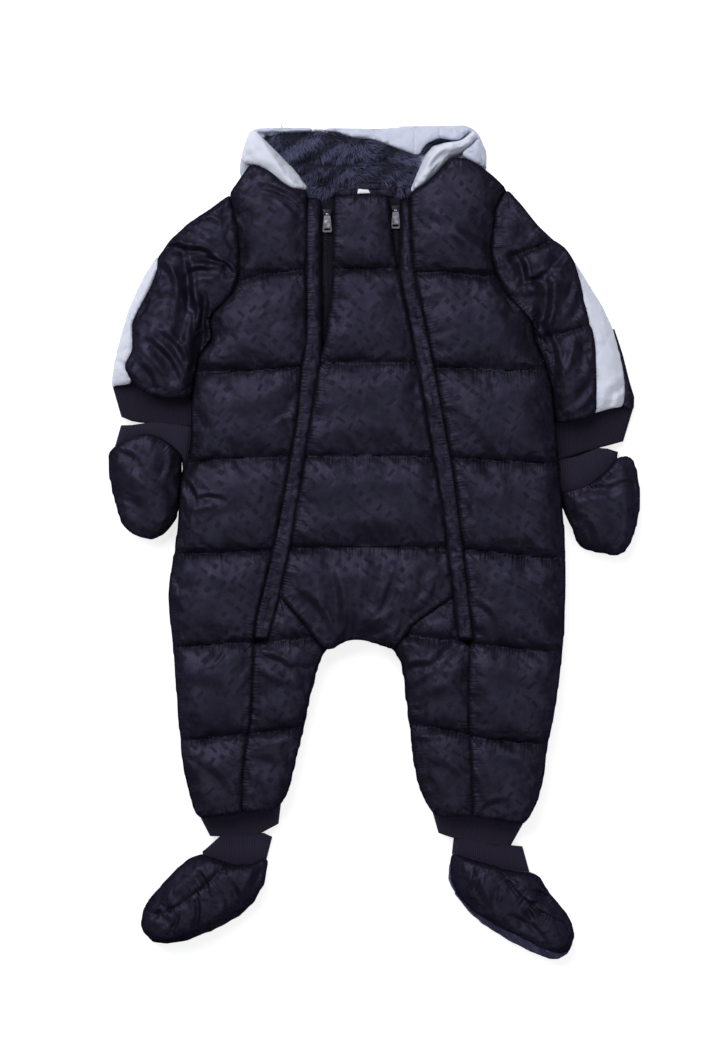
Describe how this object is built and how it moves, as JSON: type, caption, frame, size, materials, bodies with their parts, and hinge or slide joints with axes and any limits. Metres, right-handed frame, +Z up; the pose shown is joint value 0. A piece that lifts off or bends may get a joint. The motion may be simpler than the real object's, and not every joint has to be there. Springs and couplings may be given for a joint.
{
  "type": "padded hooded baby snowsuit with mittens and bootees, laid flat",
  "caption": "Quilted padded baby snowsuit laid flat, with a fleece-lined hood, two long front zips, ribbed cuffs, mittens and bootees.",
  "frame": {"origin": "on the table under the back panel, midway between the zips, at the height of the hips", "axes": "+Y towards the hood, +X towards the viewer's right with the front up, +Z up from the table"},
  "size_m": [0.4936, 0.7761, 0.0383],
  "materials": {
    "navy_satin": "satin jacquard with a small tone-on-tone repeat, quilted",
    "grey_cloth": "matte fine plain weave",
    "rib_knit": "matte ribbed knit",
    "fleece": "deep-pile fleece",
    "zip_tape": "woven tape with moulded teeth",
    "zip_metal": "grey lacquered die-cast metal",
    "label_cloth": "white woven tape, blank"
  },
  "bodies": {
    "garment": {"ankle_rib_left": "rib_knit", "ankle_rib_right": "rib_knit", "back_body": "navy_satin", "back_leg_left": "navy_satin", "back_leg_right": "navy_satin", "bootee_rib_left": "rib_knit", "bootee_rib_right": "rib_knit", "bootee_sole_left": "navy_satin", "bootee_sole_right": "navy_satin", "bootee_upper_left": "navy_satin", "bootee_upper_right": "navy_satin", "front_centre": "navy_satin", "front_side_left": "navy_satin", "front_side_right": "navy_satin", "hood_band_left": "grey_cloth", "hood_band_right": "grey_cloth", "hood_fleece": "fleece", "hood_fleece_right": "fleece", "hood_shell": "grey_cloth", "hood_side_right": "grey_cloth", "hood_top": "grey_cloth", "inner_leg_left": "navy_satin", "inner_leg_right": "navy_satin", "mitten_back_left": "navy_satin", "mitten_back_right": "navy_satin", "mitten_fleece_right": "fleece", "mitten_palm_left": "navy_satin", "mitten_palm_right": "navy_satin", "mitten_rib_left": "rib_knit", "mitten_rib_right": "rib_knit", "neck_facing": "navy_satin", "neck_fleece": "fleece", "neck_fleece_left": "fleece", "neck_fleece_right": "fleece", "neck_label": "label_cloth", "sleeve_back_edge_right": "navy_satin", "sleeve_back_left": "navy_satin", "sleeve_back_right": "navy_satin", "sleeve_front_left": "navy_satin", "sleeve_front_right": "navy_satin", "sleeve_stripe_left": "grey_cloth", "sleeve_stripe_right": "grey_cloth", "wrist_rib_left": "rib_knit", "wrist_rib_right": "rib_knit", "zip_flap_left": "navy_satin", "zip_flap_right": "navy_satin", "zip_slider_left": "zip_metal", "zip_slider_right": "zip_metal", "zip_tape_left": "zip_tape", "zip_tape_right": "zip_tape"},
    "pull_left": {"pull_tab_left": "zip_metal"},
    "pull_right": {"pull_tab_right": "zip_metal"}
  },
  "joints": [
    {"name": "pull_left_hinge", "type": "hinge", "parent": "garment", "child": "pull_left", "pos_m": [-0.0304, 0.304, 0.0237], "axis": [-1, 0, 0], "range_deg": [0, 150]},
    {"name": "pull_right_hinge", "type": "hinge", "parent": "garment", "child": "pull_right", "pos_m": [0.0331, 0.3075, 0.0237], "axis": [-1, 0, 0], "range_deg": [0, 150]}
  ]
}
